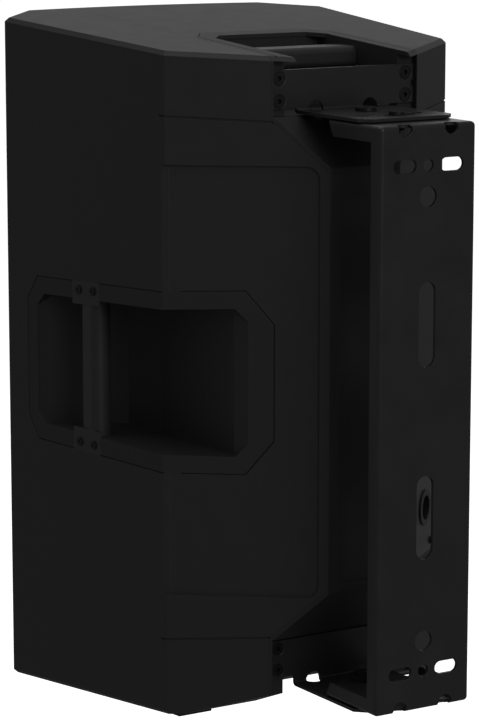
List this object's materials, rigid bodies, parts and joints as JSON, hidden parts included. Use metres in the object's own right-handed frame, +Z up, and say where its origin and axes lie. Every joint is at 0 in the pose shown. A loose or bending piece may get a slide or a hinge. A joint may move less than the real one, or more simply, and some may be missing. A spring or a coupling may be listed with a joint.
{
  "type": "wall-mounted loudspeaker",
  "caption": "Moulded two-way loudspeaker with tapered cabinet, a side and a top carrying handle, on a steel C-shaped wall bracket that lets it pan.",
  "frame": {"origin": "centre of the wall bracket plate's back face, the face that lies on the wall", "axes": "+Y into the wall, the speaker fires towards -Y; +Z up along the bracket and the pan axis; +X to the right seen from the room"},
  "size_m": [0.3556, 0.487, 0.6406],
  "materials": {
    "moulding": "fine textured",
    "liner": "fine textured",
    "grip": "satin",
    "bracket": "textured powder coat",
    "grille_sheet": "powder coat",
    "foam": "open-cell foam",
    "dark_screw": "black oxide",
    "plated": "zinc plated",
    "insert": "turned",
    "rubber": "moulded",
    "cone": "pressed fibre, coated",
    "surround": "half roll",
    "spider": "impregnated cloth",
    "coil": "wound former",
    "basket": "pressed, painted",
    "motor_steel": "plated",
    "ferrite": "ground ferrite",
    "horn": "satin",
    "diaphragm": "formed foil",
    "driver_cover": "moulded",
    "port": "satin",
    "board": "laminate",
    "inductor": "enamelled copper winding",
    "capacitor": "sleeved",
    "resistor": "ceramic",
    "plate": "powder coat",
    "socket": "satin",
    "lead": "insulated wire",
    "damping": "fibre pad"
  },
  "bodies": {
    "wall_mount": {"wall_bracket": "bracket", "pan_washers": "plated", "pivot_bolts": "dark_screw", "pivot_nuts": "dark_screw", "lock_bolts": "dark_screw", "lock_nuts": "dark_screw"},
    "speaker": {"cabinet_shell": "moulding", "front_moulding": "moulding", "grille": "grille_sheet", "grille_foam": "foam", "grille_screws": "dark_screw", "baffle_screws": "dark_screw", "woofer_frame": "basket", "woofer_top_plate": "motor_steel", "woofer_magnet": "ferrite", "woofer_back_plate": "motor_steel", "woofer_gasket": "rubber", "woofer_screws": "dark_screw", "surround": "surround", "spider": "spider", "horn": "horn", "horn_screws": "dark_screw", "driver_front_plate": "motor_steel", "driver_magnet": "ferrite", "driver_pole": "motor_steel", "driver_top_plate": "motor_steel", "phase_plug": "socket", "driver_cover": "driver_cover", "port_tubes": "port", "crossover_board": "board", "crossover_standoffs": "socket", "crossover_coils": "inductor", "crossover_capacitors": "capacitor", "crossover_resistors": "resistor", "input_plate": "plate", "input_sockets": "socket", "input_plate_screws": "dark_screw", "pole_cup": "liner", "rubber_feet": "rubber", "damping_pads": "damping", "woofer_lead": "lead", "driver_lead": "lead", "upper_pocket": "liner", "lower_pocket": "liner", "handle_bar": "grip", "side_handle": "liner", "side_grip": "grip", "side_grip_screws": "dark_screw", "upper_bracket": "bracket", "lower_bracket": "bracket", "bracket_screws": "dark_screw", "threaded_inserts": "insert"},
    "woofer_moving": {"woofer_cone": "cone", "dust_cap": "cone", "voice_coil": "coil"},
    "driver_moving": {"driver_diaphragm": "diaphragm"}
  },
  "joints": [
    {"name": "pan", "type": "hinge", "parent": "wall_mount", "child": "speaker", "pos_m": [0, -0.094, 0], "axis": [0, 0, 1], "range_deg": [-40, 40]},
    {"name": "woofer_travel", "type": "slide", "parent": "speaker", "child": "woofer_moving", "axis": [0, 1, 0], "range_m": [-0.006, 0.006], "stiffness_N_per_m": 5000},
    {"name": "driver_travel", "type": "slide", "parent": "speaker", "child": "driver_moving", "axis": [0, 1, 0], "range_m": [-0.0003, 0.0003], "stiffness_N_per_m": 400}
  ]
}
